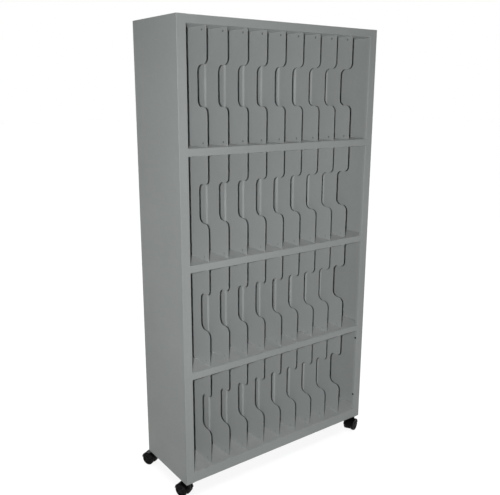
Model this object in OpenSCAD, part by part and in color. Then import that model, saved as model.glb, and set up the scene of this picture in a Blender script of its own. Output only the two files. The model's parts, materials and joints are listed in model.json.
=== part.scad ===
// Open-front filing cabinet: four tiers of narrow compartments on swivel casters.
// Millimetres. The origin is on the floor, under the middle of the body.
// The open front faces -Y, +X is to the right and +Z is up.

/* [Cabinet body] */
// Width of the body
body_w = 914; // [760:1:1200]
// Depth of the body, with its back panel
body_d = 305; // [260:1:450]
// Height of the body, without the casters
body_h = 1680; // [1600:1:2000]
// Thickness of the side, top, bottom and shelf sheets
sheet_t = 1.2; // [0.8:0.1:2]
// Thickness of the back panel
back_t = 0.8; // [0.6:0.1:1.5]
// Outside radius of every sheet bend
bend_r = 2.2; // [2.1:0.1:3.5]

/* [Front frame and shelves] */
// Width of the front flange of each side panel
flange_w = 36; // [30:1:50]
// Depth of the lip that turns back from the front flange
return_d = 12; // [8:0.5:13]
// Width of the rear flange of each side panel
rear_flange_w = 18; // [14:1:24]
// Height of the top panel's front lip
top_lip_h = 28; // [20:1:45]
// Height of a shelf's front lip
shelf_lip_h = 27; // [20:1:40]
// Height of the bottom panel's front lip
base_lip_h = 43; // [43:1:80]
// Depth of the hem under each front lip
hem_d = 9; // [6:0.5:12]
// Height of the rear lip of each shelf, of the top and of the bottom
rear_lip_h = 20; // [16:1:24]
// Height of the flange at each end of a shelf
end_flange_h = 20; // [12:1:24]

/* [Tiers and dividers] */
// Height from one shelf top to the next, where the top tier takes the rest
tier_h = 404; // [380:1:420]
// Thickness of a divider
divider_t = 1; // [0.8:0.1:1.5]
// Distance from the front plane to the front edge of a divider
divider_setback = 14; // [13.5:0.5:30]
// Height of the finger cut-out between its level edges
cut_h = 140; // [100:1:180]
// Depth of the finger cut-out from the divider's front edge
cut_d = 60; // [50:1:90]
// Height of the cut-out's middle above the shelf
cut_z = 204; // [180:1:220]
// Radius of the rounded corners at the mouth of the cut-out
mouth_r = 22; // [8:1:26]
// Radius of the inner corners of the cut-out
inner_r = 24; // [8:1:28]
// Distance from the front plane to the middle of the stiffening bead
bead_y = 157; // [125:1:190]
// Width of the stiffening bead
bead_w = 17; // [10:1:20]
// Height of the bead above the face of the divider
bead_h = 3; // [2:0.1:4]

/* [Clips and rivets] */
// Width of a divider clip
clip_w = 20; // [14:1:24]
// Height of a divider clip
clip_h = 26; // [22:1:34]
// Length of the clip's foot along the shelf
clip_foot = 12; // [8:1:20]
// Distance of a divider's rivets from its front and rear edges
rivet_inset = 27; // [20:0.5:32]
// Distance of those rivets from the shelf or ceiling that the clip stands on
rivet_rise = 12.5; // [11:0.5:16]
// Radius of a rivet's shank
rivet_r = 2; // [1.5:0.1:2.5]
// Radius of a rivet's head
rivet_head_r = 4; // [3.5:0.1:5]
// Height of a rivet's head
rivet_head_h = 1.4; // [0.8:0.1:2]
// Radius of a rivet's closed end
rivet_tail_r = 3.2; // [2.8:0.1:4]
// Height of a rivet's closed end
rivet_tail_h = 1.2; // [0.8:0.1:2]

/* [Latch holes] */
// Radius of the two holes in each return lip
latch_hole_r = 3; // [2:0.1:3.5]
// Height of the lower hole above the bottom of the body
latch_low_z = 112; // [80:1:160]
// Distance between the two holes
latch_pitch = 272; // [200:1:320]

/* [Casters] */
// Height from the floor to the body
caster_h = 60; // [59:0.5:75]
// Diameter of a wheel
wheel_d = 50; // [40:1:50]
// Width of a wheel
wheel_w = 14; // [10:0.5:16]
// Gap between the two wheels of a caster
wheel_gap = 18; // [17.5:0.5:22]
// Distance from the swivel axis to the axle
trail = 22; // [16:0.5:24]
// Radius of the threaded stem
stem_r = 5; // [4.5:0.1:6]
// Radius of the pin that the housing swivels on
pin_r = 4; // [3.5:0.1:4.2]
// Length of that pin below the collar
pin_l = 24; // [18:1:28]
// Radius of the axle
axle_r = 3; // [2.5:0.1:3.5]
// Thickness of the plates in the bottom corners
corner_t = 3; // [2:0.5:5]
// Height of the upright flanges of those plates
corner_h = 18; // [14:1:19]
// Width across the flats of the nut welded to each plate
nut_af = 17; // [15:0.5:22]
// Height of that nut
nut_h = 8; // [5:0.5:12]
// Way the front left caster points at rest, in degrees
front_left_turn = 110; // [0:1:359]
// Way the front right caster points at rest, in degrees
front_right_turn = 200; // [0:1:359]
// Way the rear left caster points at rest, in degrees
rear_left_turn = 115; // [0:1:359]
// Way the rear right caster points at rest, in degrees
rear_right_turn = 65; // [0:1:359]

/* [Hidden] */
$fn = 48;

// Clearance where one sheet slips in beside another
fit_gap = 0.3;
// Radial clearance of a rivet, a pin or an axle in its hole
run_gap = 0.05;
// How far a cutting shape runs past what it cuts
over = 1;
// Steps along each round stretch of an outline
arc_steps = 8;

// Tiers and compartments
tier_count = 4;
column_count = 10;
base_z = caster_h;
left_x = -body_w / 2;
front_y = -body_d / 2;
inner_d = body_d - back_t;
slot_w = (body_w - 2 * flange_w) / column_count;
// Depths where the ends of the shelves begin and end, beside the side panels' lips
end_front = return_d + fit_gap;
end_back = inner_d - sheet_t - fit_gap;
divider_rear = inner_d - sheet_t - fit_gap;
// Upper faces of the bottom, the shelves and the top
shelf_tops = concat([for (tier = [1:tier_count]) floor_z(tier)], [body_h]);

// Depths, from the front plane, of the clips and rivets of a divider
clip_depths = [divider_setback + rivet_inset, divider_rear - rivet_inset];
clip_corner = 6;
divider_grip = divider_t + sheet_t;
back_grip = back_t + sheet_t;
rivet_crown_r = 0.6 * rivet_head_r;

// Rivets along the rear edges: their columns in the shelf lips, their places in the side flanges
back_rivet_columns = [1, 4, 7, 10];
back_rivet_heights = [
    for (tier = [1:tier_count]) for (share = [0.25, 0.75])
        (1 - share) * floor_z(tier) + share * ceiling_z(tier)
];
back_rivet_u = (rear_flange_w + bend_r) / 2;
back_rivet_drop = (rear_lip_h + bend_r) / 2;

// Casters
stem_inset = flange_w / 2;
collar_lip = 3.5;
collar_r = stem_r + collar_lip;
collar_h = 3;
stem_top = corner_t + nut_h;
hub_wall = 4.2;
hub_r = pin_r + hub_wall;
hub_top = caster_h - collar_h - fit_gap;
bore_bottom = caster_h - collar_h - pin_l - fit_gap;
hub_floor = 3;
web_gap = 0.6;
web_w = wheel_gap - 2 * web_gap;
web_drop = 12;
hood_gap = 1.2;
hood_t = 1.6;
hood_r = wheel_d / 2 + hood_gap + hood_t;
hood_rise = 3;
axle_z = wheel_d / 2;
wheel_edge_r = 2.5;
wheel_rim = 4.5;
wheel_boss_r = 8;
wheel_dish = 1.6;
wheel_recess = 5;
bore_floor = 2;
axle_l = wheel_gap + 2 * (wheel_w - bore_floor - fit_gap);

// Corner name, side, end and rest angle of each caster
casters = [
    ["front_left", -1, -1, front_left_turn],
    ["front_right", 1, -1, front_right_turn],
    ["rear_left", -1, 1, rear_left_turn],
    ["rear_right", 1, 1, rear_right_turn]
];
wheel_sides = [["a", 1], ["b", -1]];

steel = [0.56, 0.58, 0.57];
plated = [0.75, 0.75, 0.74];
black = [0.09, 0.09, 0.09];

function divider_name(tier, i) = str("divider_", tier, "_", i);
function wheel_name(c, s) = str(c[0], "_wheel_", s[0]);

// Height of a tier's floor and ceiling above the bottom of the body, with tier 1 at the top
function floor_z(tier) = base_lip_h + (tier_count - tier) * tier_h;
function ceiling_z(tier) = tier == 1 ? body_h - top_lip_h : floor_z(tier - 1) - sheet_t;

// Middle of divider i, from the body's left side
function divider_u(i) = flange_w + i * slot_w;

// Points along an arc from angle a0 to a1
function arc(cx, cy, r, a0, a1) =
    [for (k = [0:arc_steps]) let (a = a0 + (a1 - a0) * k / arc_steps) [cx + r * cos(a), cy + r * sin(a)]];

// Swivel axis of a caster
function stem_xy(c) = [
    c[1] * (body_w / 2 - stem_inset),
    c[2] < 0 ? front_y + stem_inset : front_y + inner_d - stem_inset
];

// Moves to the body's front left bottom corner
module at_body() {
    translate([left_x, front_y, base_z]) children();
}

// Repeats a piece on the right half as a mirror image
module both_sides() {
    children();
    mirror([1, 0, 0]) children();
}

// Stands an outline of depth and height up, and draws it out along the width
module along_width(length) {
    rotate([90, 0, 90]) linear_extrude(length) children();
}

// Stands an outline of width and height up, and draws it out along the depth
module along_depth(length) {
    translate([0, length, 0]) rotate([90, 0, 0]) linear_extrude(length) children();
}

// Quarter of a bend, in the quadrant that su and sv point to
module bend(u, v, su, sv) {
    translate([u, v]) difference() {
        intersection() {
            circle(r = bend_r);
            translate([su < 0 ? -bend_r : 0, sv < 0 ? -bend_r : 0]) square(bend_r);
        }
        circle(r = bend_r - sheet_t);
    }
}

// Plan of a side panel: front flange with its return lip, side and rear flange
module side_outline() {
    translate([0, bend_r]) square([sheet_t, inner_d - 2 * bend_r]);
    bend(bend_r, bend_r, -1, -1);
    translate([bend_r, 0]) square([flange_w - 2 * bend_r, sheet_t]);
    bend(flange_w - bend_r, bend_r, 1, -1);
    translate([flange_w - sheet_t, bend_r]) square([sheet_t, return_d - bend_r]);
    bend(bend_r, inner_d - bend_r, -1, 1);
    translate([bend_r, inner_d - sheet_t]) square([rear_flange_w - bend_r, sheet_t]);
}

module side_panel() {
    difference() {
        at_body() linear_extrude(body_h) side_outline();
        at_body() latch_holes();
        back_rivet_holes();
    }
}

// Holes for a latch or a hinge in the return lip
module latch_holes() {
    for (z = [latch_low_z, latch_low_z + latch_pitch])
        translate([flange_w - sheet_t - over, (bend_r + return_d) / 2, z])
            rotate([0, 90, 0]) cylinder(r = latch_hole_r, h = sheet_t + 2 * over);
}

module left_side_panel() {
    color(steel) side_panel();
}

module right_side_panel() {
    color(steel) mirror([1, 0, 0]) side_panel();
}

// Section of a shelf from front to back: hem, lip, sheet and rear lip, with its top at zero
module shelf_section(lip_h, hem, rear_h) {
    translate([bend_r, -lip_h]) square([hem - bend_r, sheet_t]);
    bend(bend_r, bend_r - lip_h, -1, -1);
    translate([0, bend_r - lip_h]) square([sheet_t, lip_h - 2 * bend_r]);
    bend(bend_r, -bend_r, -1, 1);
    translate([bend_r, -sheet_t]) square([inner_d - 2 * bend_r, sheet_t]);
    bend(inner_d - bend_r, -bend_r, 1, 1);
    translate([inner_d - sheet_t, -rear_h]) square([sheet_t, rear_h - bend_r]);
}

// Section of a shelf's left end: end flange, bend and sheet
module shelf_end_section() {
    translate([sheet_t, -end_flange_h]) square([sheet_t, end_flange_h - bend_r]);
    bend(sheet_t + bend_r, -bend_r, -1, 1);
    translate([sheet_t + bend_r, -sheet_t]) square([flange_w - sheet_t - bend_r, sheet_t]);
}

// A shelf, or the top or bottom, whose upper face is at height z in the body
module shelf(z, lip_h, hem = hem_d, rear_h = rear_lip_h) {
    difference() {
        union() {
            translate([left_x + flange_w, front_y, base_z + z])
                along_width(body_w - 2 * flange_w) shelf_section(lip_h, hem, rear_h);
            both_sides() translate([left_x, front_y + end_front, base_z + z])
                along_depth(end_back - end_front) shelf_end_section();
        }
        shelf_rivet_holes(z);
    }
}

// The top is closed from below by a liner, level with the lower edge of its lips
module top_panel() {
    color(steel) union() {
        shelf(body_h, top_lip_h, inner_d - sheet_t, top_lip_h);
        both_sides() translate([left_x + sheet_t, front_y + end_front, base_z + body_h - top_lip_h])
            cube([flange_w - sheet_t, end_back - end_front, sheet_t]);
    }
}

module upper_shelf() {
    color(steel) shelf(floor_z(1), shelf_lip_h);
}

module middle_shelf() {
    color(steel) shelf(floor_z(2), shelf_lip_h);
}

module lower_shelf() {
    color(steel) shelf(floor_z(3), shelf_lip_h);
}

module bottom_panel() {
    color(steel) shelf(floor_z(4), base_lip_h);
}

module back_panel() {
    color(steel) difference() {
        at_body() translate([over, inner_d, over])
            cube([body_w - 2 * over, back_t, body_h - 2 * over]);
        both_sides() back_rivet_holes();
        for (z = shelf_tops) shelf_rivet_holes(z);
    }
}

// Puts a child at each rivet of the left rear flange, pointing forward
module at_back_rivets() {
    for (z = back_rivet_heights) at_body() translate([back_rivet_u, body_d, z])
        rotate([90, 0, 0]) children();
}

// Puts a child at each rivet of a shelf's rear lip, pointing forward
module at_shelf_rivets(z) {
    for (column = back_rivet_columns)
        at_body() translate([divider_u(column - 0.5), body_d, z - back_rivet_drop])
            rotate([90, 0, 0]) children();
}

module back_rivet_holes() {
    at_back_rivets() rivet_hole(back_grip);
}

module shelf_rivet_holes(z) {
    at_shelf_rivets(z) rivet_hole(back_grip);
}

module rivet_hole(grip) {
    translate([0, 0, -over]) cylinder(r = rivet_r + run_gap, h = grip + 2 * over);
}

// A rivet whose head sits below zero, with its shank and closed end above
module rivet(grip) {
    translate([0, 0, -rivet_head_h]) cylinder(r1 = rivet_crown_r, r2 = rivet_head_r, h = rivet_head_h);
    cylinder(r = rivet_r, h = grip);
    translate([0, 0, grip]) cylinder(r1 = rivet_tail_r, r2 = rivet_r, h = rivet_tail_h);
}

// Finger cut-out with rounded mouth corners and inner corners, in depth and height
module finger_cut() {
    half = cut_h / 2;
    polygon(concat(
        [[-over, half + mouth_r], [-over, -half - mouth_r]],
        arc(mouth_r, -half - mouth_r, mouth_r, 180, 90),
        arc(cut_d - inner_r, inner_r - half, inner_r, -90, 0),
        arc(cut_d - inner_r, half - inner_r, inner_r, 0, 90),
        arc(mouth_r, half + mouth_r, mouth_r, -90, -180)
    ));
}

// Plan of a divider, with the bead pressed out to the left
module divider_plan() {
    arc_r = (bead_w * bead_w / 4 + bead_h * bead_h) / (2 * bead_h);
    sweep = asin(bead_w / 2 / arc_r);
    middle = arc_r - bead_h;
    near = arc(middle, bead_y, arc_r, 180 + sweep, 180 - sweep);
    far = arc(middle + divider_t, bead_y, arc_r, 180 - sweep, 180 + sweep);
    polygon(concat(
        [[0, divider_setback]], near, [[0, divider_rear], [divider_t, divider_rear]], far,
        [[divider_t, divider_setback]]
    ));
}

module divider(tier, i) {
    low = floor_z(tier);
    high = ceiling_z(tier) - fit_gap;
    color(steel) difference() {
        at_body() translate([divider_u(i) - divider_t / 2, 0, low])
            linear_extrude(high - low) divider_plan();
        at_body() translate([divider_u(i) - bead_h - over, divider_setback, low + cut_z])
            along_width(2 * (bead_h + over)) finger_cut();
        at_divider_rivets(tier, i) rivet_hole(divider_grip);
    }
}

// Puts a child at each rivet of a divider, pointing right
module at_divider_rivets(tier, i) {
    for (v = clip_depths) for (z = [floor_z(tier) + rivet_rise, ceiling_z(tier) - rivet_rise])
        at_body() translate([divider_u(i) - divider_t / 2, v, z]) rotate([0, 90, 0]) children();
}

// Clip with its foot on the shelf and its upright against the divider
module clip() {
    half = clip_w / 2;
    difference() {
        union() {
            translate([0, -half, 0]) cube([clip_foot, clip_w, sheet_t]);
            along_width(sheet_t) polygon([
                [half, 0], [half, clip_h - clip_corner], [half - clip_corner, clip_h],
                [clip_corner - half, clip_h], [-half, clip_h - clip_corner], [-half, 0]
            ]);
        }
        translate([-over, 0, rivet_rise]) rotate([0, 90, 0])
            cylinder(r = rivet_r + run_gap, h = sheet_t + 2 * over);
    }
}

module divider_clips() {
    color(steel) for (tier = [1:tier_count]) for (i = [1:column_count - 1]) for (v = clip_depths)
        at_body() translate([divider_u(i) + divider_t / 2, v, 0]) {
            translate([0, 0, floor_z(tier)]) clip();
            translate([0, 0, ceiling_z(tier)]) mirror([0, 0, 1]) clip();
        }
}

module panel_rivets() {
    color(plated) {
        for (tier = [1:tier_count]) for (i = [1:column_count - 1])
            at_divider_rivets(tier, i) rivet(divider_grip);
        both_sides() at_back_rivets() rivet(back_grip);
        for (z = shelf_tops) at_shelf_rivets(z) rivet(back_grip);
    }
}

// Plate with two upright flanges and a welded nut, for the bottom corner at the origin
module corner_plate() {
    far = flange_w - sheet_t - fit_gap;
    near = sheet_t + bend_r;
    difference() {
        union() {
            linear_extrude(corner_t) polygon([
                [near, sheet_t], [far, sheet_t], [far, far], [sheet_t, far], [sheet_t, near]
            ]);
            translate([sheet_t, near, 0]) cube([corner_t, far - near, corner_h]);
            translate([near, sheet_t, 0]) cube([far - near, corner_t, corner_h]);
            translate([stem_inset, stem_inset, 0]) cylinder(d = nut_af / cos(30), h = stem_top, $fn = 6);
        }
        translate([stem_inset, stem_inset, -over])
            cylinder(r = stem_r + run_gap, h = stem_top + 2 * over);
    }
}

module corner_plates() {
    color(plated) both_sides() at_body() {
        corner_plate();
        translate([0, inner_d, 0]) mirror([0, 1, 0]) corner_plate();
    }
}

// Threaded stem, collar and swivel pin of one caster
module caster_stem() {
    translate([0, 0, caster_h]) cylinder(r = stem_r, h = stem_top);
    translate([0, 0, caster_h - collar_h]) cylinder(r = collar_r, h = collar_h);
    translate([0, 0, caster_h - collar_h - pin_l]) cylinder(r = pin_r, h = pin_l);
}

module caster_stems() {
    color(plated) for (c = casters) translate(stem_xy(c)) caster_stem();
}

// Moves to a caster's swivel axis, turned the way it points at rest
module at_caster(c) {
    translate(stem_xy(c)) rotate([0, 0, c[3]]) children();
}

// Hood over both wheels, as a band round the axle
module hood() {
    rotate([90, 0, 0]) difference() {
        cylinder(r = hood_r, h = wheel_gap + 2 * wheel_w, center = true);
        cylinder(r = hood_r - hood_t, h = wheel_gap + 2 * wheel_w + over, center = true);
        translate([0, hood_rise - hood_r, 0])
            cube([2 * hood_r + over, 2 * hood_r, wheel_gap + 2 * wheel_w + over], center = true);
    }
}

// Disc between the wheels, cut off level below the axle
module web() {
    rotate([90, 0, 0]) difference() {
        cylinder(r = hood_r, h = web_w, center = true);
        translate([0, -web_drop - hood_r, 0])
            cube([2 * hood_r + over, 2 * hood_r, web_w + over], center = true);
    }
}

module housing(c) {
    at_caster(c) {
        color(black) difference() {
            union() {
                translate([0, 0, bore_bottom - hub_floor])
                    cylinder(r = hub_r, h = hub_top - bore_bottom + hub_floor);
                translate([trail, 0, axle_z]) web();
                translate([trail, 0, axle_z]) hood();
            }
            translate([0, 0, bore_bottom]) cylinder(r = pin_r + run_gap, h = caster_h);
            translate([trail, 0, axle_z]) rotate([90, 0, 0])
                cylinder(r = axle_r + run_gap, h = wheel_gap + over, center = true);
        }
        color(plated) translate([trail, 0, axle_z]) rotate([90, 0, 0])
            cylinder(r = axle_r, h = axle_l, center = true);
    }
}

// Half section of a wheel, with its inner face at zero and its dished outer face above
module wheel_section() {
    r = wheel_d / 2;
    rim = r - wheel_rim;
    polygon(concat(
        [[axle_r + run_gap, 0], [wheel_boss_r, 0], [wheel_boss_r, wheel_recess], [rim, wheel_recess]],
        [[rim, 0]],
        arc(r - wheel_edge_r, wheel_edge_r, wheel_edge_r, -90, 0),
        arc(r - wheel_edge_r, wheel_w - wheel_edge_r, wheel_edge_r, 0, 90),
        [[rim, wheel_w], [rim - wheel_dish, wheel_w - wheel_dish]],
        [[wheel_boss_r + wheel_dish, wheel_w - wheel_dish], [wheel_boss_r, wheel_w], [0, wheel_w]],
        [[0, wheel_w - bore_floor], [axle_r + run_gap, wheel_w - bore_floor]]
    ));
}

module wheel(c, s) {
    at_caster(c) color(black) translate([trail, s[1] * wheel_gap / 2, axle_z])
        rotate([-90 * s[1], 0, 0]) rotate_extrude() wheel_section();
}

left_side_panel();
right_side_panel();
back_panel();
top_panel();
bottom_panel();
upper_shelf();
middle_shelf();
lower_shelf();
for (tier = [1:tier_count]) for (i = [1:column_count - 1])
    divider(tier, i);
divider_clips();
panel_rivets();
corner_plates();
caster_stems();
for (c = casters)
    housing(c);
for (c = casters) for (s = wheel_sides)
    wheel(c, s);
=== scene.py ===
import json
import math

import bmesh
import bpy
from mathutils import Matrix, Vector


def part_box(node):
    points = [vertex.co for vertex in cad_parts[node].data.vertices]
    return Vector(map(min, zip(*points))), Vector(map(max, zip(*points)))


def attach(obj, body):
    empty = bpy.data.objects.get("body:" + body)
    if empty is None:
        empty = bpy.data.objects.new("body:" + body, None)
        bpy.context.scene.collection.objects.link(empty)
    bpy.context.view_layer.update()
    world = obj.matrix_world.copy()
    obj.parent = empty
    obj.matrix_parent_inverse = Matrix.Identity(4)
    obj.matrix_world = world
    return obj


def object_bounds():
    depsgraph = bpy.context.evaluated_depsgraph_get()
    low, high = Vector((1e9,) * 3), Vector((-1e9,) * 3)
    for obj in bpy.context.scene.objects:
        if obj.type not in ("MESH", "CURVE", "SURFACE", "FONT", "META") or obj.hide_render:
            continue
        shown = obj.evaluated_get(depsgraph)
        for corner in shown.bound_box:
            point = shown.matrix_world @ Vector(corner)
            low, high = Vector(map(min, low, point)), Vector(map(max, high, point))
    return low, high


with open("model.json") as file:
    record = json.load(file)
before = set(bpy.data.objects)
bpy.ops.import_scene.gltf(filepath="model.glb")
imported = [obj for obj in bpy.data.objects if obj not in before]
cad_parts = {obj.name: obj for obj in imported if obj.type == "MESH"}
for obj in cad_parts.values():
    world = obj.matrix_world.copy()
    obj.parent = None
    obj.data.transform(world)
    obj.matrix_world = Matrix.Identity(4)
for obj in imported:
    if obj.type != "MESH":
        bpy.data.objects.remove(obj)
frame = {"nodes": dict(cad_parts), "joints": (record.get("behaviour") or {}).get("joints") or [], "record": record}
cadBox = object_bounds()
nodes = frame["nodes"]
print("frame loaded:", len(nodes), "nodes")


# Makes one shader node, sets its options, and links or fills its inputs by name or number
def addNode(tree, kind, settings=None, inputs=None):
    made = tree.nodes.new(kind)
    for name, value in (settings or {}).items():
        setattr(made, name, value)
    for name, value in (inputs or {}).items():
        if isinstance(value, bpy.types.NodeSocket):
            tree.links.new(value, made.inputs[name])
        else:
            made.inputs[name].default_value = value
    return made


# A new material with its coordinates and a Principled shader wired to the output
def startMaterial(name, shaderValues):
    made = bpy.data.materials.new(name)
    made.use_nodes = True
    tree = made.node_tree
    tree.nodes.clear()
    coords = addNode(tree, "ShaderNodeTexCoord").outputs["Object"]
    shader = addNode(tree, "ShaderNodeBsdfPrincipled", inputs=shaderValues)
    addNode(tree, "ShaderNodeOutputMaterial", inputs={"Surface": shader.outputs["BSDF"]})
    return made, tree, coords, shader


def noise(tree, coords, scale, detail=2.0, roughness=0.5):
    made = addNode(tree, "ShaderNodeTexNoise", inputs={
        "Vector": coords, "Scale": scale, "Detail": detail, "Roughness": roughness})
    return made.outputs["Fac"]


# Spreads a value from one range to another, clamped at both ends
def remap(tree, value, low, high, toLow, toHigh):
    return addNode(tree, "ShaderNodeMapRange", inputs={
        "Value": value, "From Min": low, "From Max": high,
        "To Min": toLow, "To Max": toHigh}).outputs["Result"]


# The Mix node has its colour sockets at 6, 7 and 2 outwards
def mixColours(tree, factor, first, second, blend="MIX"):
    made = addNode(tree, "ShaderNodeMix", {"data_type": "RGBA", "blend_type": blend},
                   {0: factor, 6: first, 7: second})
    return made.outputs[2]


def maths(tree, operation, *values):
    made = addNode(tree, "ShaderNodeMath", {"operation": operation}, dict(enumerate(values)))
    return made.outputs["Value"]


def multiply(tree, first, second):
    return maths(tree, "MULTIPLY", first, second)


def vectorMaths(tree, operation, *values):
    return addNode(tree, "ShaderNodeVectorMath", {"operation": operation}, dict(enumerate(values)))


def bump(tree, height, strength, distance, under=None):
    inputs = {"Height": height, "Strength": strength, "Distance": distance}
    if under is not None:
        inputs["Normal"] = under
    return addNode(tree, "ShaderNodeBump", inputs=inputs).outputs["Normal"]


def grey(level, tint=(1.0, 1.0, 1.0)):
    return tuple(level * t for t in tint) + (1.0,)


# Grey powder coat on folded sheet steel
paint = {
    "level": 0.30,
    "tint": (0.950, 1.012, 0.995),
    "chalk": 0.5,           # how evenly the dull coat sends light back at a slant
    "cloud": 0.045,         # broad changes of tone, as a share
    "cloudScale": 2.2,
    "mottle": 0.03,
    "mottleScale": 55.0,
    "specks": 0.10,
    "speckScale": 380.0,
    "speckTone": 1.5,       # tones are shares of the level
    "roughness": (0.46, 0.54),
    "roughScale": 9.0,
    "peelScale": 620.0,
    "peelDepth": 0.00003,
    "waveScale": 5.5,
    "waveDepth": 0.0006,    # slow waves of the thin sheet
    "dust": 0.20,           # on what faces up
    "dustColour": grey(0.5, (1.0, 0.98, 0.94)),
    "dustScale": 17.0,
    "sideShade": 0.25,          # painted shade on the outer sides, darkest near the floor
    "sideShadeTone": 0.25,
    "sideShadeScale": 6.0,
    "sideShadeFrom": 1.70,
    "sideShadeTo": 0.55,
    "outside": (0.4555, 0.4568),    # distances from the middle between which the outer sides begin
    "scuffTop": 0.17,       # dark marks below this height, most at the body's lower edge
    "scuffLow": 0.06,
    "scuff": 0.30,
    "scuffScale": 38.0,
    "scuffColour": grey(0.06, (1.0, 0.97, 0.92)),
    # a lighter tone, for the rubbed front edges and for the painted highlight on the beads
    "rubAndHighlightTone": 1.9,
    "rub": 0.16,            # polish where hands slide past the dividers' front edges
    "rubScale": 24.0,
    "rubFrom": -0.1387,
    "rubTo": -0.1335,
    "beadMiddle": 0.0055,   # painted highlight along the dividers' beads, lighter paint standing in for their lit flanks
    "beadHalf": 0.0085,
    "beadSoft": 0.0022,
    "beadHighlight": (0.15, 0.36),
    "beadScale": 7.0,
}


def powderCoat(name, rubbedAndHighlit=False):
    made, tree, coords, shader = startMaterial(name, {
        "Specular IOR Level": 0.42, "Diffuse Roughness": paint["chalk"]})

    def tone(share):
        return grey(paint["level"] * share, paint["tint"])

    cloudy = remap(tree, noise(tree, coords, paint["cloudScale"], 3.0), 0.3, 0.7, 0.0, 1.0)
    base = mixColours(tree, cloudy, tone(1 - paint["cloud"]), tone(1 + paint["cloud"]))
    mottled = remap(tree, noise(tree, coords, paint["mottleScale"], 4.0, 0.6),
                    0.35, 0.65, 1 - paint["mottle"], 1.0)
    base = mixColours(tree, 1.0, base, mottled, "MULTIPLY")
    specks = remap(tree, noise(tree, coords, paint["speckScale"], 1.0), 0.66, 0.78, 0.0, paint["specks"])
    base = mixColours(tree, specks, base, tone(paint["speckTone"]))
    place = addNode(tree, "ShaderNodeSeparateXYZ", inputs={"Vector": coords}).outputs
    if rubbedAndHighlit:
        nearEdge = remap(tree, place["Y"], paint["rubFrom"], paint["rubTo"], 1.0, 0.0)
        wearAndShadePatches = remap(tree, noise(tree, coords, paint["rubScale"], 5.0, 0.65), 0.42, 0.68, 0.0, paint["rub"])
        base = mixColours(tree, multiply(tree, nearEdge, wearAndShadePatches), base, tone(paint["rubAndHighlightTone"]))
        # painted highlight: a strip over each bead coloured lighter, standing in for its lit flank
        fromBead = maths(tree, "ABSOLUTE", maths(tree, "SUBTRACT", place["Y"], paint["beadMiddle"]))
        onBead = remap(tree, fromBead, paint["beadHalf"], paint["beadHalf"] - paint["beadSoft"], 0.0, 1.0)
        paintedLightMask = remap(tree, noise(tree, coords, paint["beadScale"], 4.0, 0.6), 0.35, 0.65, *paint["beadHighlight"])
        base = mixColours(tree, multiply(tree, onBead, paintedLightMask), base, tone(paint["rubAndHighlightTone"]))
    # painted shade: the outer sides coloured darker than the rest, most towards the floor
    sides = remap(tree, maths(tree, "ABSOLUTE", place["X"]), *paint["outside"], 0.0, paint["sideShade"])
    paintedLightMask = multiply(tree, sides, remap(tree, place["Z"], paint["sideShadeFrom"], paint["sideShadeTo"], 0.0, 1.0))
    wearAndShadePatches = remap(tree, noise(tree, coords, paint["sideShadeScale"], 5.0, 0.6), 0.3, 0.7, 0.8, 1.0)
    base = mixColours(tree, multiply(tree, paintedLightMask, wearAndShadePatches), base, tone(paint["sideShadeTone"]))
    # knocks and shoe marks near the floor
    low = remap(tree, place["Z"], paint["scuffLow"], paint["scuffTop"], 1.0, 0.0)
    marks = remap(tree, noise(tree, coords, paint["scuffScale"], 6.0, 0.75), 0.60, 0.70, 0.0, paint["scuff"])
    base = mixColours(tree, multiply(tree, low, marks), base, paint["scuffColour"])
    # dust lies where the surface faces up, in patches
    normal = addNode(tree, "ShaderNodeNewGeometry").outputs["Normal"]
    up = addNode(tree, "ShaderNodeSeparateXYZ", inputs={"Vector": normal}).outputs["Z"]
    patches = remap(tree, noise(tree, coords, paint["dustScale"], 4.0, 0.62), 0.35, 0.75, 0.3, 1.0)
    dusty = multiply(tree, multiply(tree, remap(tree, up, 0.8, 1.0, 0.0, 1.0), patches), paint["dust"])
    base = mixColours(tree, dusty, base, paint["dustColour"])
    tree.links.new(base, shader.inputs["Base Color"])
    rough = remap(tree, noise(tree, coords, paint["roughScale"], 3.0), 0.3, 0.7, *paint["roughness"])
    tree.links.new(rough, shader.inputs["Roughness"])
    waves = bump(tree, noise(tree, coords, paint["waveScale"], 1.0), 1.0, paint["waveDepth"])
    peel = bump(tree, noise(tree, coords, paint["peelScale"], 2.0), 1.0, paint["peelDepth"], waves)
    tree.links.new(peel, shader.inputs["Normal"])
    return made


# Dull zinc plating with its crystal patches and fine rolling marks
plating = {
    "level": 0.46,
    "tint": (1.0, 1.0, 0.99),
    "tones": (0.86, 1.12),
    "crystalScale": 240.0,
    "roughness": (0.34, 0.52),
    "grainScale": 900.0,
    "grainDepth": 0.00002,
}


def zincPlate(name):
    made, tree, coords, shader = startMaterial(name, {"Metallic": 0.85})
    crystals = addNode(tree, "ShaderNodeTexVoronoi", inputs={
        "Vector": coords, "Scale": plating["crystalScale"]}).outputs["Color"]
    tone = addNode(tree, "ShaderNodeSeparateColor", inputs={"Color": crystals}).outputs[0]
    dark, light = (grey(plating["level"] * share, plating["tint"]) for share in plating["tones"])
    tree.links.new(mixColours(tree, tone, dark, light), shader.inputs["Base Color"])
    tree.links.new(remap(tree, tone, 0.0, 1.0, *plating["roughness"]), shader.inputs["Roughness"])
    grain = bump(tree, noise(tree, coords, plating["grainScale"], 2.0), 1.0, plating["grainDepth"])
    tree.links.new(grain, shader.inputs["Normal"])
    return made


# Rivet heads coloured dark as painted shade, standing in for the shading and shadow round their domes
rivets = {
    "level": 0.15,
    "tones": (0.7, 1.5),
    "metal": 0.3,
    "stainScale": 600.0,
    "stainDepth": 0.00004,
    "roughness": (0.62, 0.45),
    "unshadedLevel": 0.30,     # below the top tier the painted shade is left off and they take a grey close to the paint's
    "unshadedFrom": 1.335,
    "unshadedTo": 1.303,
    "unshadedShare": 0.92,
    "innerTo": 0.1515,      # the heads on the outside of the back all keep the painted shade
    "outerFrom": 0.1523,
}


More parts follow.
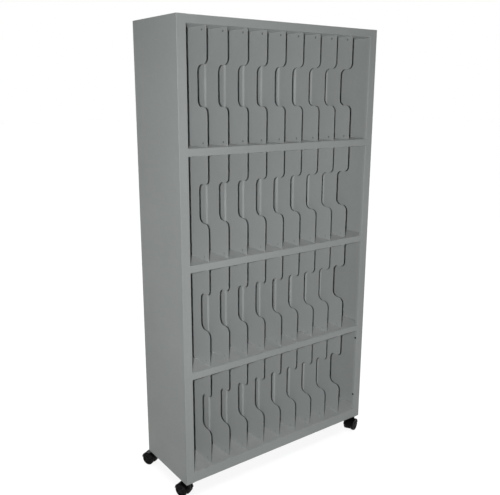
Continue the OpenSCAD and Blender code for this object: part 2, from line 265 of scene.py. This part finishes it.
def shadedRivets(name):
    made, tree, coords, shader = startMaterial(name, {"Metallic": rivets["metal"]})
    stains = remap(tree, noise(tree, coords, rivets["stainScale"], 4.0, 0.6), 0.35, 0.68, 0.0, 1.0)
    dark, light = rivets["tones"]
    # the dark base tones, mottled at random, are painted shade round the heads
    base = mixColours(tree, stains, grey(rivets["level"] * dark),
                      grey(rivets["level"] * light, (1.0, 0.99, 0.96)))
    place = addNode(tree, "ShaderNodeSeparateXYZ", inputs={"Vector": coords}).outputs
    inner = remap(tree, place["Y"], rivets["innerTo"], rivets["outerFrom"], rivets["unshadedShare"], 0.0)
    lower = remap(tree, place["Z"], rivets["unshadedFrom"], rivets["unshadedTo"], 0.0, 1.0)
    base = mixColours(tree, multiply(tree, lower, inner), base, grey(rivets["unshadedLevel"], paint["tint"]))
    tree.links.new(base, shader.inputs["Base Color"])
    tree.links.new(remap(tree, stains, 0.0, 1.0, *rivets["roughness"]), shader.inputs["Roughness"])
    tree.links.new(bump(tree, stains, 1.0, rivets["stainDepth"]), shader.inputs["Normal"])
    return made


# Black moulded nylon, and the same harder and smoother for the wheels
nylon = {
    "housing": {"level": 0.002, "roughness": (0.42, 0.55), "grainScale": 1500.0, "grainDepth": 0.00004},
    "wheel": {"level": 0.002, "roughness": (0.36, 0.50), "grainScale": 700.0, "grainDepth": 0.00002},
    "specular": 0.08,
    "scuff": 0.005,
    "scuffScale": 95.0,
    "dust": (0.012, 0.0112, 0.010, 1.0),
    "dustScale": 260.0,
    "treadFrom": 0.0232,    # the wheel's worn tread begins at this radius
    "treadTo": 0.0246,
}


def blackNylon(name, kind, axle=None):
    values = nylon[kind]
    made, tree, coords, shader = startMaterial(name, {"Specular IOR Level": nylon["specular"]})
    scuffs = remap(tree, noise(tree, coords, nylon["scuffScale"], 6.0, 0.7), 0.56, 0.74, 0.0, 1.0)
    base = mixColours(tree, scuffs, grey(values["level"]),
                      grey(values["level"] + nylon["scuff"], (1.0, 0.98, 0.95)))
    if axle:
        centre, along = axle
        offset = vectorMaths(tree, "SUBTRACT", coords, centre).outputs["Vector"]
        across = vectorMaths(tree, "CROSS_PRODUCT", offset, along).outputs["Vector"]
        radius = vectorMaths(tree, "LENGTH", across).outputs["Value"]
        tread = remap(tree, radius, nylon["treadFrom"], nylon["treadTo"], 0.0, 1.0)
        dirt = remap(tree, noise(tree, coords, nylon["dustScale"], 5.0, 0.7), 0.35, 0.65, 0.25, 0.9)
        base = mixColours(tree, multiply(tree, tread, dirt), base, nylon["dust"])
    tree.links.new(base, shader.inputs["Base Color"])
    tree.links.new(remap(tree, scuffs, 0.0, 1.0, *values["roughness"]), shader.inputs["Roughness"])
    grain = bump(tree, noise(tree, coords, values["grainScale"], 2.0), 1.0, values["grainDepth"])
    tree.links.new(grain, shader.inputs["Normal"])
    return made


joints = {joint["name"]: joint for joint in frame["joints"]}
corners = ("front_left", "front_right", "rear_left", "rear_right")

finishes = {
    "grey_paint": powderCoat("greyPowderCoat"),
    "plated_steel": zincPlate("dullZincPlate"),
    "black_plastic": blackNylon("casterNylon", "housing"),
}
# the dividers' coat carries the rubbed front edges and the painted highlight on the beads
dividerPaint = powderCoat("rubbedHighlitPowderCoat", rubbedAndHighlit=True)
shadedRivetFinish = shadedRivets("shadedRivetSteel")
wheelNylon = {}
for corner in corners:
    spin = joints[corner + "_wheel_a_spin"]
    wheelNylon[corner] = blackNylon(corner + "WheelNylon", "wheel", (spin["pos_m"], spin["axis"]))

for entry in frame["record"]["subparts"]:
    name = entry["node"]
    if name == "panel_rivets":
        finish = shadedRivetFinish
    elif name.startswith("divider_") and name != "divider_clips":
        finish = dividerPaint
    elif "_wheel_" in name:
        finish = wheelNylon[name[:name.index("_wheel_")]]
    else:
        finish = finishes[entry["material_slot"]]
    nodes[name].data.materials.clear()
    nodes[name].data.materials.append(finish)
print("finishes set on the", len(nodes), "nodes")


# Turns a bmesh into a smooth piece that rides on a body and takes its finish from a slot
def makePiece(name, mesh, slot, body, sharpAngle=35.0, finish=None):
    bmesh.ops.recalc_face_normals(mesh, faces=mesh.faces)
    data = bpy.data.meshes.new(name)
    mesh.to_mesh(data)
    mesh.free()
    data.shade_smooth()
    data.set_sharp_from_angle(angle=math.radians(sharpAngle))
    data.materials.append(finish or finishes[slot])
    piece = bpy.data.objects.new(name, data)
    bpy.context.scene.collection.objects.link(piece)
    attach(piece, body)
    return piece


# Joins two closed rings of vertices with quads
def band(mesh, near, far):
    count = len(near)
    for i in range(count):
        mesh.faces.new((near[i], near[(i + 1) % count], far[(i + 1) % count], far[i]))


# Joins closed rings of points and caps both ends
def skin(mesh, rings):
    made = [[mesh.verts.new(point) for point in ring] for ring in rings]
    for near, far in zip(made, made[1:]):
        band(mesh, near, far)
    mesh.faces.new(made[0])
    mesh.faces.new(made[-1])


# Points of a circle of given radius and height round a place's Z
def circle(place, radius, height, steps):
    turns = [2 * math.pi * k / steps for k in range(steps)]
    return [place @ Vector((radius * math.cos(a), radius * math.sin(a), height)) for a in turns]


# Circles of given radius and height round a place's Z, closed by a point at the top
def button(mesh, place, profile, tipHeight, steps):
    rings = [[mesh.verts.new(point) for point in circle(place, r, h, steps)] for r, h in profile]
    tip = mesh.verts.new(place @ Vector((0.0, 0.0, tipHeight)))
    for near, far in zip(rings, rings[1:]):
        band(mesh, near, far)
    for i in range(steps):
        mesh.faces.new((rings[-1][i], rings[-1][(i + 1) % steps], tip))
    mesh.faces.new(rings[0])


# Half-round outline of a bead, sunk a little so that it leaves no gap
def halfRound(width, height, sink, steps=6):
    arc = [(-width / 2 * math.cos(math.pi * k / steps), height * math.sin(math.pi * k / steps))
           for k in range(steps + 1)]
    return arc + [(width / 2, -sink), (-width / 2, -sink)]


# Place of a caster's axle: X along its trail, Y along the axle, Z up
def casterPlace(corner):
    spin = joints[corner + "_wheel_a_spin"]
    across = Vector(spin["axis"]).normalized()
    along = across.cross(Vector((0, 0, 1)))
    place = Matrix((along, across, Vector((0, 0, 1)))).transposed().to_4x4()
    place.translation = Vector(spin["pos_m"])
    return place


# Moulded ribs, ring and axle cap in the dish of each wheel
wheelFace = {
    "outer": 0.023,         # from the caster's middle to the wheel's outer face
    "dish": 0.0016,
    "ribs": 8,
    "ribFrom": 0.0094,
    "ribTo": 0.0196,
    "ribWidth": 0.0020,
    "ribHeight": 0.0012,
    "ring": 0.0145,
    "ringWidth": 0.0014,
    "ringHeight": 0.0009,
    "ringSteps": 48,
    "cap": 0.0064,
    "capRise": 0.0006,
    # shares of the cap's radius and rise, from its foot to the dimple in its middle
    "capProfile": ((1.0, 0.3), (0.94, 0.75), (0.8, 1.0), (0.42, 1.0), (0.34, 0.4)),
    "capDimple": 0.35,
    "capSteps": 32,
    "sink": 0.0002,
}


def wheelMoulding(corner, letter):
    outward = -90.0 if letter == "a" else 90.0
    place = casterPlace(corner) @ Matrix.Rotation(math.radians(outward), 4, "X")
    dishFloor = wheelFace["outer"] - wheelFace["dish"]
    mesh = bmesh.new()
    outline = halfRound(wheelFace["ribWidth"], wheelFace["ribHeight"], wheelFace["sink"], 4)
    for k in range(wheelFace["ribs"]):
        spoke = place @ Matrix.Rotation(2 * math.pi * k / wheelFace["ribs"], 4, "Z")
        skin(mesh, [[spoke @ Vector((r, u, dishFloor + v)) for u, v in outline]
                    for r in (wheelFace["ribFrom"], wheelFace["ribTo"])])
    ring, steps = wheelFace["ring"], wheelFace["ringSteps"]
    outline = halfRound(wheelFace["ringWidth"], wheelFace["ringHeight"], wheelFace["sink"], 4)
    rings = []
    for k in range(steps):
        turned = place @ Matrix.Rotation(2 * math.pi * k / steps, 4, "Z")
        rings.append([mesh.verts.new(turned @ Vector((ring + u, 0.0, dishFloor + v))) for u, v in outline])
    for k in range(steps):
        band(mesh, rings[k], rings[(k + 1) % steps])
    cap, rise = wheelFace["cap"], wheelFace["capRise"]
    top = place @ Matrix.Translation((0.0, 0.0, wheelFace["outer"]))
    profile = [(cap, -wheelFace["sink"])] + [(cap * r, rise * h) for r, h in wheelFace["capProfile"]]
    button(mesh, top, profile, rise * wheelFace["capDimple"], wheelFace["capSteps"])
    wheel = corner + "_wheel_" + letter
    return makePiece(wheel + "_ribs", mesh, "black_tyre", wheel, finish=wheelNylon[corner])


for corner in corners:
    for letter in ("a", "b"):
        wheelMoulding(corner, letter)
print("wheel mouldings made")

# Edge beads of each caster's hood, and the spine that runs from its hub over the crown
hood = {
    "radius": 0.0278,
    "beadOut": 0.0219,      # from the caster's middle to the middle of a bead
    "beadWidth": 0.0014,
    "beadHeight": 0.0005,
    "beadFrom": 6.5,        # degrees from level, at the front and the rear
    "beadSteps": 40,
    "spineWidth": 0.0030,
    "spineFrom": 14.0,      # degrees too
    "spineTo": 124.0,
    "spineSteps": 30,
    "spineLow": 0.0005,
    "spineHigh": 0.0050,
    "spineKick": 0.45,      # share of its length where it starts to climb to the hub
    # half of its section, as shares of its half width and rise
    "spineProfile": ((1.0, 0.55), (0.8, 0.85), (0.45, 1.0)),
    "sink": 0.0003,
}


def hoodTrim(corner):
    place = casterPlace(corner)
    mesh = bmesh.new()
    radius, sink = hood["radius"], hood["sink"]

    def ringAt(degrees, across, outline):
        a = math.radians(degrees)
        return [place @ Vector(((radius + v) * math.cos(a), across + u, (radius + v) * math.sin(a)))
                for u, v in outline]

    outline = halfRound(hood["beadWidth"], hood["beadHeight"], sink, 6)
    first, steps = hood["beadFrom"], hood["beadSteps"]
    angles = [first + (180 - 2 * first) * k / steps for k in range(steps + 1)]
    for side in (-1, 1):
        skin(mesh, [ringAt(a, side * hood["beadOut"], outline) for a in angles])
    half, kick, steps = hood["spineWidth"] / 2, hood["spineKick"], hood["spineSteps"]
    rings = []
    for k in range(steps + 1):
        share = k / steps
        climb = max(0.0, (share - kick) / (1 - kick)) ** 2
        rise = hood["spineLow"] + (hood["spineHigh"] - hood["spineLow"]) * climb
        rise *= min(1.0, 0.15 + share * 12)     # runs out flat at its lower end
        nearSide = [(-half * u, rise * v) for u, v in hood["spineProfile"]]
        outline = [(-half, -sink)] + nearSide + [(-u, v) for u, v in reversed(nearSide)] + [(half, -sink)]
        rings.append(ringAt(hood["spineFrom"] + (hood["spineTo"] - hood["spineFrom"]) * share, 0.0, outline))
    skin(mesh, rings)
    return makePiece(corner + "_hood_trim", mesh, "black_plastic", corner + "_caster")


for corner in corners:
    hoodTrim(corner)
print("caster hoods trimmed")

# Spot welds that hold the feet of the divider clips
spotWeld = {
    "fromFace": 0.0066,     # along the foot from the divider's face
    "fromEdge": 0.027,      # from the divider's front or rear edge
    "apart": 0.005,         # to each side of the clip's middle
    "radius": 0.0022,
    "rise": 0.00022,
    # shares of its radius and rise, from below the foot's face to its hollow
    "profile": ((1.12, -1.0), (1.05, 0.3), (0.92, 1.0), (0.74, 0.8), (0.6, 0.15)),
    "hollow": 0.1,
    "steps": 12,
    "footThickness": 0.0012,
    "topGap": 0.0003,       # between a divider's upper edge and the ceiling
}


def spotWelds():
    mesh = bmesh.new()
    profile = [(spotWeld["radius"] * r, spotWeld["rise"] * h) for r, h in spotWeld["profile"]]
    hollow, steps = spotWeld["rise"] * spotWeld["hollow"], spotWeld["steps"]
    flip = Matrix.Rotation(math.pi, 4, "X")
    for name in nodes:
        if not name.startswith("divider_") or name == "divider_clips":
            continue
        low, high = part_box(name)
        x = high.x + spotWeld["fromFace"]
        lowerZ = low.z + spotWeld["footThickness"]
        upperZ = high.z + spotWeld["topGap"] - spotWeld["footThickness"]
        for middleY in (low.y + spotWeld["fromEdge"], high.y - spotWeld["fromEdge"]):
            for y in (middleY - spotWeld["apart"], middleY + spotWeld["apart"]):
                button(mesh, Matrix.Translation((x, y, lowerZ)), profile, hollow, steps)
                button(mesh, Matrix.Translation((x, y, upperZ)) @ flip, profile, hollow, steps)
    return makePiece("clip_spot_welds", mesh, "grey_paint", "cabinet")


spotWelds()
print("spot welds made")

# Dressed welds that fill the bends between the side flanges and the front lips
frameWeld = {
    "bend": 0.0022,
    "depth": 0.0016,
    "into": 0.0001,         # how far it runs into the end of a lip
    "proud": 0.00003,
    # heights of its rings, from each edge of a lip
    "offsets": (0.0004, 0.0006, 0.0009, 0.0013, 0.0018, 0.0023),
    "lips": ("top_panel", "upper_shelf", "middle_shelf", "lower_shelf", "bottom_panel"),
}


def frameWelds():
    mesh = bmesh.new()
    bend, depth, into = frameWeld["bend"], frameWeld["depth"], frameWeld["into"]
    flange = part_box("right_side_panel")[0]

    # How far a bend's surface has turned away, at a distance from its tangent edge
    def bendAway(distance):
        return bend - math.sqrt(max(0.0, bend * bend - (bend - distance) ** 2))

    for name in frameWeld["lips"]:
        low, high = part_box(name)
        heights = [high.z - h for h in frameWeld["offsets"]]
        heights += [low.z + h for h in reversed(frameWeld["offsets"])]
        for side in (-1, 1):
            rings = []
            for z in heights:
                fromEdge = min(high.z - z, z - low.z)
                front = (bendAway(fromEdge) if fromEdge < bend else 0.0) - frameWeld["proud"]
                between = (front + depth) / 2
                across = [(-into, front), (bendAway(max(front, 0.0)), front),
                          (bendAway(between), between), (bendAway(depth), depth), (-into, depth)]
                rings.append([Vector((side * (flange.x + u), flange.y + v, z)) for u, v in across])
            skin(mesh, rings)
    return makePiece("frame_welds", mesh, "grey_paint", "cabinet")


frameWelds()

# Stitch welds under the body, where the corner plates meet the side panels and the flanges
stitch = {
    "inset": 0.0014,
    "from": 0.008,
    "to": 0.030,
    "width": 0.0024,
    "height": 0.0010,
    "ripple": 0.0011,
    "rippleShare": 0.14,
    "sink": 0.0002,
    "steps": 44,
}


def stitchWelds():
    mesh = bmesh.new()
    low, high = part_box("left_side_panel")[0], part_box("right_side_panel")[1]
    outline = halfRound(1.0, 1.0, stitch["sink"] / stitch["height"], 6)
    steps, ripple = stitch["steps"], stitch["rippleShare"]
    for x, inX in ((low.x, 1), (high.x, -1)):
        for y, inY in ((low.y, 1), (high.y, -1)):
            for alongX in (True, False):
                rings = []
                for k in range(steps + 1):
                    t = stitch["from"] + (stitch["to"] - stitch["from"]) * k / steps
                    taper = min(1.0, 0.25 + 0.15 * min(k, steps - k))   # thinner at both ends
                    scale = taper * (1 - ripple + ripple * abs(math.sin(math.pi * t / stitch["ripple"])))
                    ring = []
                    for u, v in outline:
                        across = stitch["inset"] + u * stitch["width"] * scale
                        deep = low.z - v * stitch["height"] * scale
                        near, far = (t, across) if alongX else (across, t)
                        ring.append(Vector((x + inX * near, y + inY * far, deep)))
                    rings.append(ring)
                skin(mesh, rings)
    return makePiece("corner_stitch_welds", mesh, "grey_paint", "cabinet", 60.0)


stitchWelds()
print("welds made")

# Pressed caps that close the tops of the side panels' front channels
channelCap = {
    "inset": 0.0013,        # from the side panel's outer faces
    "width": 0.0334,
    "depth": 0.0110,
    "corner": 0.0010,
    "thickness": 0.0012,
    # how far each ring shrinks, and its drop from the top, over the rounded edge
    "edge": ((0.0, 0.0004), (0.00024, 0.00012), (0.00064, 0.0)),
    "cornerSteps": 4,
}


def channelCaps():
    mesh = bmesh.new()
    low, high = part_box("left_side_panel")[0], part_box("right_side_panel")[1]
    inset, corner, steps = channelCap["inset"], channelCap["corner"], channelCap["cornerSteps"]
    farX, farY = channelCap["width"] - corner, channelCap["depth"] - corner

    def outline(shrink):
        r, points = corner - shrink / 2, []
        for x, y, start in ((farX, farY, 0), (corner, farY, 90), (corner, corner, 180), (farX, corner, 270)):
            x += shrink / 2 * (1 if x == corner else -1)
            y += shrink / 2 * (1 if y == corner else -1)
            for k in range(steps + 1):
                a = math.radians(start + 90 * k / steps)
                points.append((x + r * math.cos(a), y + r * math.sin(a)))
        return points

    for side, wall in ((1, low.x), (-1, high.x)):
        skin(mesh, [[Vector((wall + side * (inset + u), low.y + inset + v, high.z - drop))
                     for u, v in outline(shrink)]
                    for shrink, drop in ((0.0, channelCap["thickness"]),) + channelCap["edge"]])
    return makePiece("channel_caps", mesh, "grey_paint", "cabinet")


channelCaps()
print("channel caps made")

# Black nylon bushes in the latch holes, for the screws of a latch bar
latchBush = {
    "behindFront": 0.0071,
    "heights": (0.172, 0.444),
    "bore": 0.0023,
    "boreDepth": 0.0085,
    # radius, and distance behind the face of the return lip
    "profile": ((0.0023, -0.0007), (0.0027, -0.0009), (0.0041, -0.0008), (0.0046, -0.0004), (0.0046, 0.0),
                (0.00298, 0.0), (0.00298, 0.0013), (0.0035, 0.0018), (0.0033, 0.0040), (0.0030, 0.0090),
                (0.0026, 0.0100)),
    "steps": 32,
}


def latchBushes():
    mesh = bmesh.new()
    profile = ((latchBush["bore"], latchBush["boreDepth"]),) + latchBush["profile"]
    for side, lip in ((-1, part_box("left_side_panel")[1].x), (1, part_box("right_side_panel")[0].x)):
        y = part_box("left_side_panel")[0].y + latchBush["behindFront"]
        for z in latchBush["heights"]:
            place = Matrix.Translation((lip, y, z)) @ Matrix.Rotation(side * math.pi / 2, 4, "Y")
            skin(mesh, [circle(place, r, h, latchBush["steps"]) for r, h in profile])
    return makePiece("latch_bushes", mesh, "black_plastic", "cabinet")


latchBushes()
print("latch bushes made")

# The photo's camera, with its angles in degrees
view = {
    "place": (-1.5057, -1.9718, 1.4966),
    "turn": -36.375,
    "tilt": -13.802,        # from level
    "roll": 0.208,
    "lens": 45.33,
    "sensor": 36.0,
}
camera = bpy.data.objects.new("camera", bpy.data.cameras.new("camera"))
camera.location = view["place"]
aimed = Matrix.Rotation(math.radians(view["turn"]), 3, "Z")
aimed @= Matrix.Rotation(math.radians(90 + view["tilt"]), 3, "X")
aimed @= Matrix.Rotation(math.radians(view["roll"]), 3, "Z")
camera.rotation_euler = aimed.to_euler()
camera.data.lens = view["lens"]
camera.data.sensor_width = view["sensor"]
bpy.context.scene.collection.objects.link(camera)
bpy.context.scene.camera = camera

# Pale floor, white backdrop, a flash beside the lens and soft lamps round the cabinet
studio = {
    "floorSize": 60.0,
    "floorLevel": 0.80,
    "floorFill": 3.6,       # an even lamp for the floor alone, without shadows
    "floorLamp": 0.55,      # the same with a soft shadow
    "backdrop": 1.0,
    "ambient": 0.03,
    "flash": {"aside": 0.09, "ahead": 0.04, "size": 0.03, "power": 55.5, "range": 2.7},
    "soft": {
        "near": {"place": (-1.65, -2.15, 0.9), "size": 0.6, "power": 4.0},
        "front": {"place": (-0.7, -2.9, 1.1), "size": 0.8, "power": 4.5},
        "overhead": {"place": (0.6, 0.9, 3.9), "size": 1.6, "power": 70.0},
        "rear": {"place": (1.9, 3.0, 2.6), "size": 2.2, "power": 160.0},
    },
}
mesh = bpy.data.meshes.new("floor")
half = studio["floorSize"] / 2
mesh.from_pydata([(-half, -half, 0), (half, -half, 0), (half, half, 0), (-half, half, 0)], [],
                 [(0, 1, 2, 3)])
floor = bpy.data.objects.new("floor", mesh)
bpy.context.scene.collection.objects.link(floor)
floorPaint, tree, coords, shader = startMaterial("paleFloor", {"Roughness": 0.8})
base = mixColours(tree, noise(tree, coords, 0.8, 3.0),
                  grey(studio["floorLevel"] * 0.985), grey(studio["floorLevel"]))
tree.links.new(base, shader.inputs["Base Color"])
floor.data.materials.append(floorPaint)
floor.visible_diffuse = False

# the backdrop shows white, and lights the cabinet only faintly
world = bpy.data.worlds.new("studio")
world.use_nodes = True
tree = world.node_tree
backdrop = tree.nodes["Background"]
backdrop.inputs["Color"].default_value = (1.0, 1.0, 1.0, 1.0)
seen = addNode(tree, "ShaderNodeLightPath").outputs["Is Camera Ray"]
strength = remap(tree, seen, 0.0, 1.0, studio["ambient"], studio["backdrop"])
tree.links.new(strength, backdrop.inputs["Strength"])
bpy.context.scene.world = world
bpy.context.scene.view_settings.view_transform = "Standard"

# the lamps light either the floor alone or all but the floor
onlyFloor = bpy.data.collections.new("onlyFloor")
onlyFloor.objects.link(floor)
allButFloor = bpy.data.collections.new("allButFloor")
allButFloor.objects.link(floor)
allButFloor.collection_objects[0].light_linking.link_state = "EXCLUDE"


def addLamp(name, kind, place, aim, power, lights=allButFloor, **settings):
    data = bpy.data.lights.new(name, kind)
    data.energy = power
    for setting, value in settings.items():
        setattr(data, setting, value)
    lamp = bpy.data.objects.new(name, data)
    lamp.location = place
    lamp.rotation_euler = (Vector(aim) - Vector(place)).to_track_quat("-Z", "Y").to_euler()
    lamp.light_linking.receiver_collection = lights
    bpy.context.scene.collection.objects.link(lamp)
    return lamp


turn = math.radians(view["turn"])
left = Vector((-math.cos(turn), -math.sin(turn), 0.0))
ahead = Vector((-math.sin(turn), math.cos(turn), 0.0))
middle = (cadBox[0] + cadBox[1]) / 2
flash = studio["flash"]
flashPlace = Vector(view["place"]) + left * flash["aside"] + ahead * flash["ahead"]
flashLamp = addLamp("flash", "AREA", flashPlace, middle, flash["power"], shape="DISK", size=flash["size"])
# a gentler fall with distance than a bare lamp's
flashLamp.data.use_nodes = True
tree = flashLamp.data.node_tree
falloff = addNode(tree, "ShaderNodeLightFalloff", inputs={"Strength": 1 / flash["range"]})
tree.links.new(falloff.outputs["Linear"], tree.nodes["Emission"].inputs["Strength"])
for name, lamp in studio["soft"].items():
    addLamp(name, "AREA", lamp["place"], middle, lamp["power"], size=lamp["size"])
straightDown = ((0.0, 0.0, 6.0), (0.0, 0.0, 0.0))   # place and aim
addLamp("floorFill", "SUN", *straightDown, studio["floorFill"], lights=onlyFloor, use_shadow=False)
addLamp("floorLamp", "SUN", *straightDown, studio["floorLamp"], lights=onlyFloor, angle=0.9)
print("studio set")
